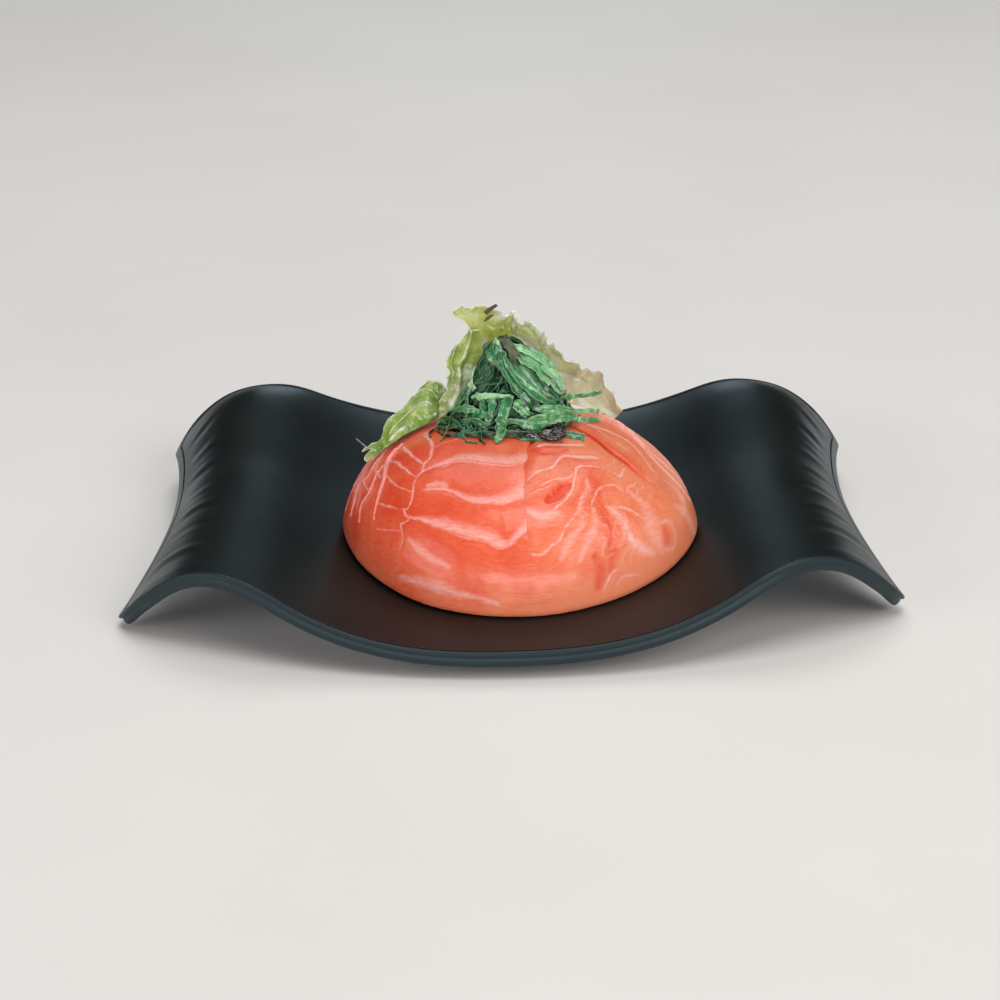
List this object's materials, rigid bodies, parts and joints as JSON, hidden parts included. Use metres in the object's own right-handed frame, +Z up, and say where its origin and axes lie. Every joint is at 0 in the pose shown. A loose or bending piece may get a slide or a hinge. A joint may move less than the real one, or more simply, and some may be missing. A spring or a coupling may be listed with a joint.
{
  "type": "salmon chirashi dish on a wave plate",
  "caption": "Dome of overlapping raw salmon slices topped with a heap of seaweed salad and lettuce leaves, in the valley of a black plate with drooping side wings.",
  "frame": {"origin": "on the table, under the middle of the plate", "axes": "+Z up; +X across the plate from wing to wing, to the diner's right; -Y towards the diner, and the dome stands a little that way"},
  "size_m": [0.263, 0.208, 0.0898],
  "materials": {
    "black_melamine": "satin black melamine",
    "salmon": "wet raw salmon, orange-pink with pale fat lines",
    "mound": "moist, covered by the slices",
    "seaweed": "wet green seaweed strips",
    "wood_ear": "wet near-black strip",
    "lettuce": "pale yellow-green leaf with whitish ribs"
  },
  "bodies": {
    "root": {"plate": "black_melamine", "mound": "mound", "seaweed_salad": "seaweed", "wood_ear_strip": "wood_ear", "lettuce_back": "lettuce", "lettuce_side": "lettuce", "lettuce_left": "lettuce", "salmon_slice_1": "salmon", "salmon_slice_2": "salmon", "salmon_slice_3": "salmon", "salmon_slice_4": "salmon", "salmon_slice_5": "salmon", "salmon_slice_6": "salmon"}
  },
  "joints": []
}
